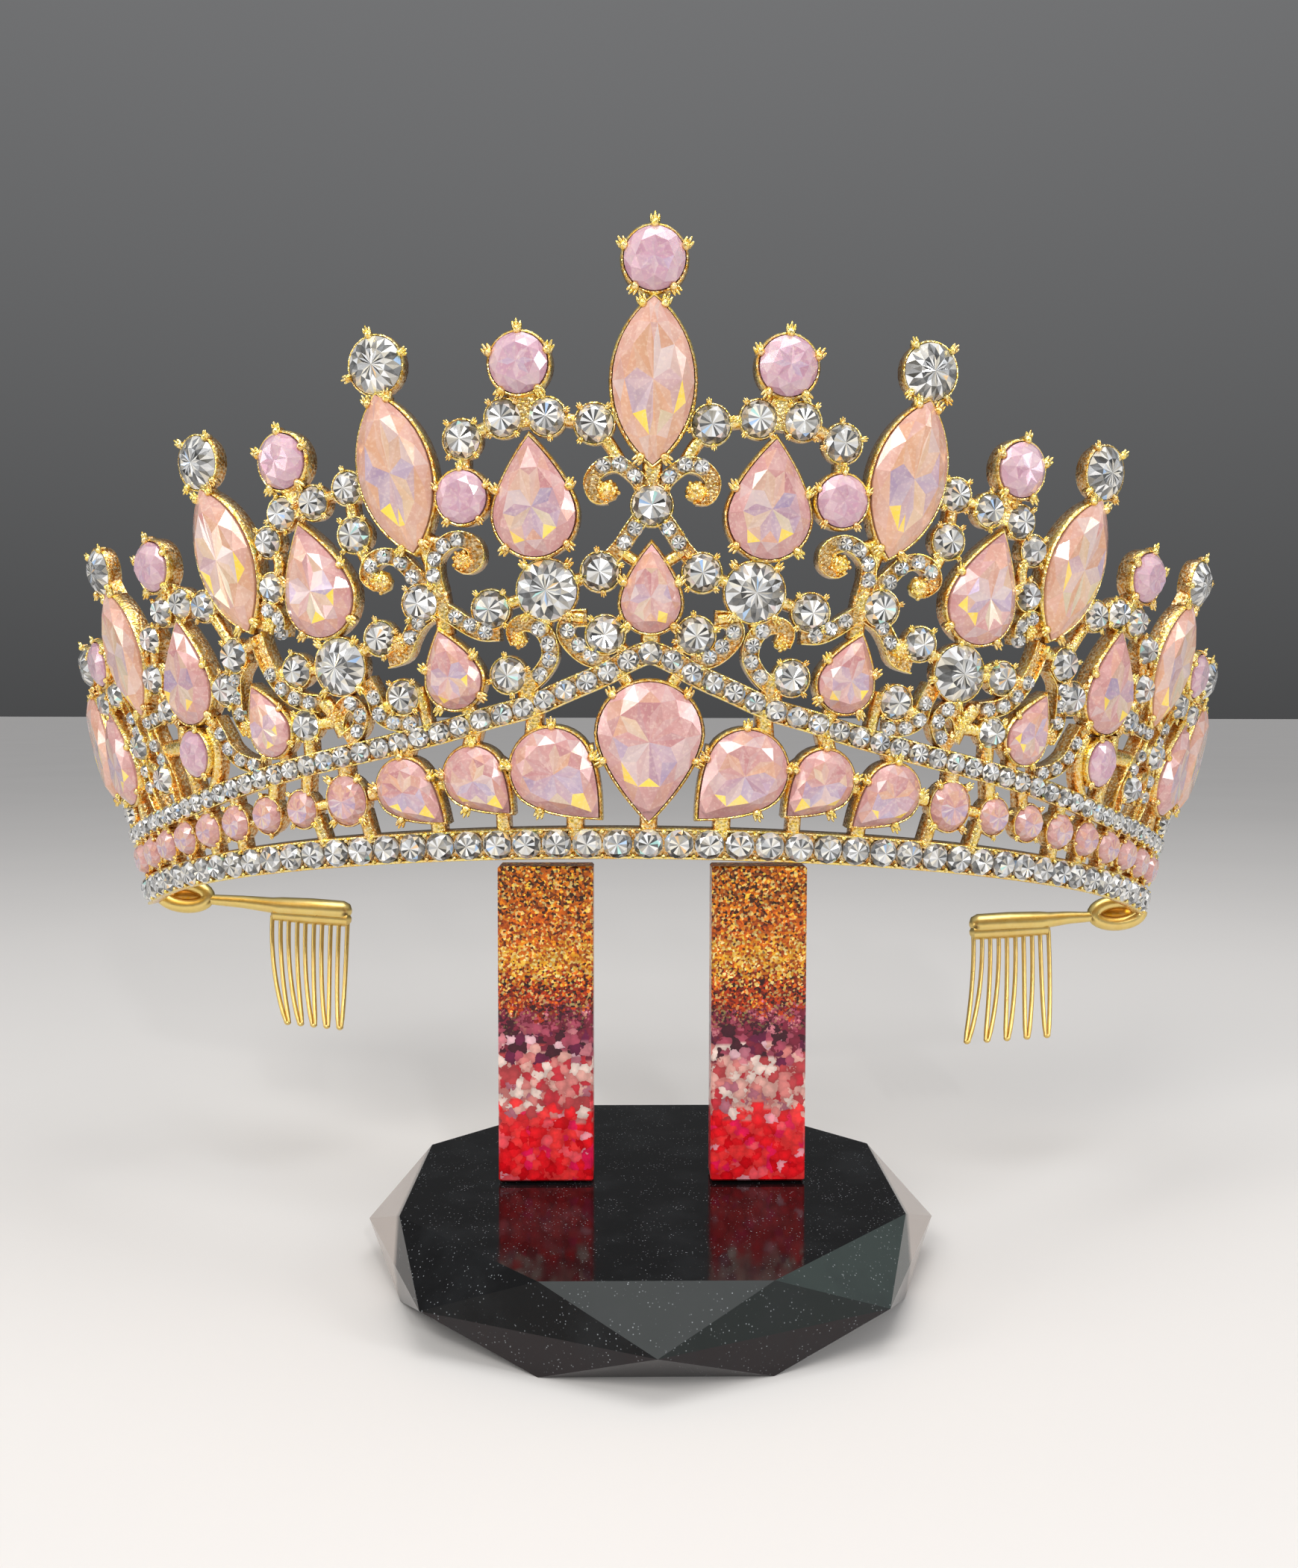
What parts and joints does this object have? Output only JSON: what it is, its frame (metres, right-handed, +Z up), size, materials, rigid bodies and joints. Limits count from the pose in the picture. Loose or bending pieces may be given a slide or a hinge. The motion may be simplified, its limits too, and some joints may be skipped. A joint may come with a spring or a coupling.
{
  "type": "tiara on a display stand",
  "caption": "Pierced gold-coloured tiara with pink and clear stones in pointed crests, two hair combs behind its ends, resting on two upright posts on a faceted base.",
  "frame": {"origin": "centre of the stand base's underside", "axes": "+Z up, the tiara's front towards -Y, its width along X"},
  "size_m": [0.1949, 0.088, 0.1357],
  "materials": {
    "gold_plate": "bright plated casting",
    "comb_gold": "satin plated wire",
    "rose_opal": "milky rose cut stone, foil backed",
    "peach_opal": "milky peach cut stone, foil backed",
    "black_resin": "polished black cast resin with fine sparkle",
    "glitter_resin": "polished clear resin filled with coarse glitter"
  },
  "bodies": {
    "root": {"comb_left": "comb_gold", "comb_right": "comb_gold", "marquise_1_left": "peach_opal", "marquise_1_right": "peach_opal", "marquise_2_left": "peach_opal", "marquise_2_right": "peach_opal", "marquise_3_left": "peach_opal", "marquise_3_right": "peach_opal", "marquise_4_left": "peach_opal", "marquise_4_right": "peach_opal", "marquise_centre": "peach_opal", "oval_middle_3_left": "rose_opal", "oval_middle_3_right": "rose_opal", "pear_lower_1_left": "rose_opal", "pear_lower_1_right": "rose_opal", "pear_lower_2_left": "rose_opal", "pear_lower_2_right": "rose_opal", "pear_lower_3_left": "rose_opal", "pear_lower_3_right": "rose_opal", "pear_lower_centre": "rose_opal", "pear_middle_1_left": "rose_opal", "pear_middle_1_right": "rose_opal", "pear_middle_2_left": "rose_opal", "pear_middle_2_right": "rose_opal", "pear_middle_centre": "rose_opal", "pear_upper_1_left": "rose_opal", "pear_upper_1_right": "rose_opal", "pear_upper_2_left": "rose_opal", "pear_upper_2_right": "rose_opal", "pear_upper_3_left": "rose_opal", "pear_upper_3_right": "rose_opal", "pear_upper_4_left": "rose_opal", "pear_upper_4_right": "rose_opal", "round_side_left": "rose_opal", "round_side_right": "rose_opal", "round_top_1_left": "rose_opal", "round_top_1_right": "rose_opal", "round_top_2_left": "rose_opal", "round_top_2_right": "rose_opal", "round_top_3_left": "rose_opal", "round_top_3_right": "rose_opal", "round_top_4_left": "rose_opal", "round_top_4_right": "rose_opal", "round_top_centre": "rose_opal", "stand_base": "black_resin", "stand_post_left": "glitter_resin", "stand_post_right": "glitter_resin", "tiara_casting": "gold_plate"}
  },
  "joints": []
}
